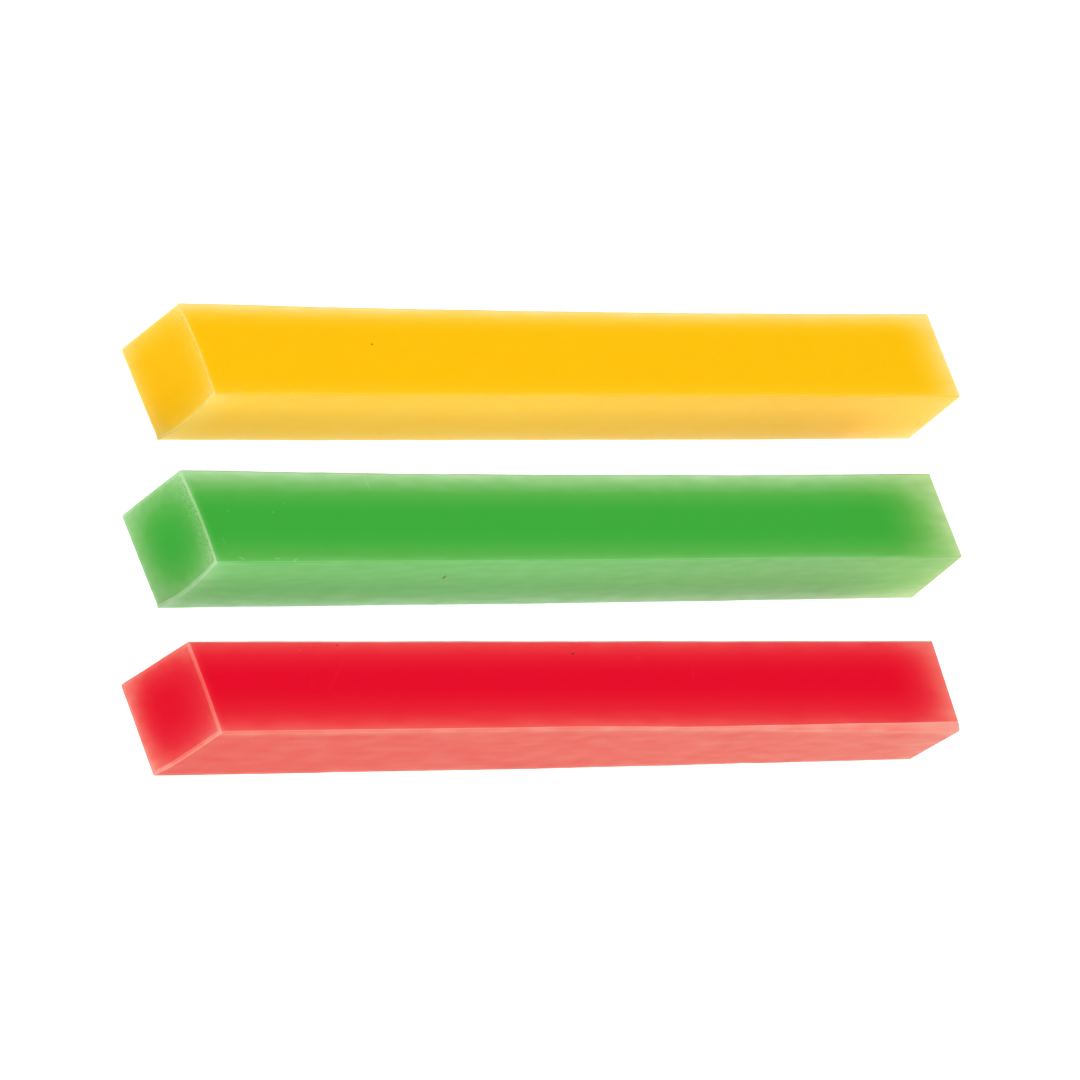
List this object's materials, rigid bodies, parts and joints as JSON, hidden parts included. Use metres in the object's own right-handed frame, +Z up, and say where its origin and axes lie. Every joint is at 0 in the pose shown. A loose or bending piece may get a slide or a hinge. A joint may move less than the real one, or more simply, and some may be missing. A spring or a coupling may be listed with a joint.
{
  "type": "sanding stick set",
  "caption": "Loose square-section sanding sticks of translucent, rubbery bonded abrasive, one colour per grade, lying flat side by side.",
  "frame": {"origin": "middle of the green stick's resting face, on the bench", "axes": "+X along the sticks, +Y across them from the red stick to the yellow one, +Z up off the bench"},
  "size_m": [0.1151, 0.0477, 0.0102],
  "materials": {
    "yellow_abrasive": "translucent yellow elastomer-bonded abrasive, smooth cast top, fine drag lines on the cut sides",
    "green_abrasive": "translucent green elastomer-bonded abrasive, smooth cast top, fine drag lines on the cut sides",
    "red_abrasive": "translucent red elastomer-bonded abrasive, smooth cast top, fine drag lines on the cut sides"
  },
  "bodies": {
    "green_stick": {"green_stick": "green_abrasive"},
    "yellow_stick": {"yellow_stick": "yellow_abrasive"},
    "red_stick": {"red_stick": "red_abrasive"}
  },
  "joints": [
    {"name": "yellow_lift", "type": "slide", "parent": "green_stick", "child": "yellow_stick", "axis": [0, 0, 1], "range_m": [0, 0.05]},
    {"name": "red_lift", "type": "slide", "parent": "green_stick", "child": "red_stick", "axis": [0, 0, 1], "range_m": [0, 0.05]}
  ]
}
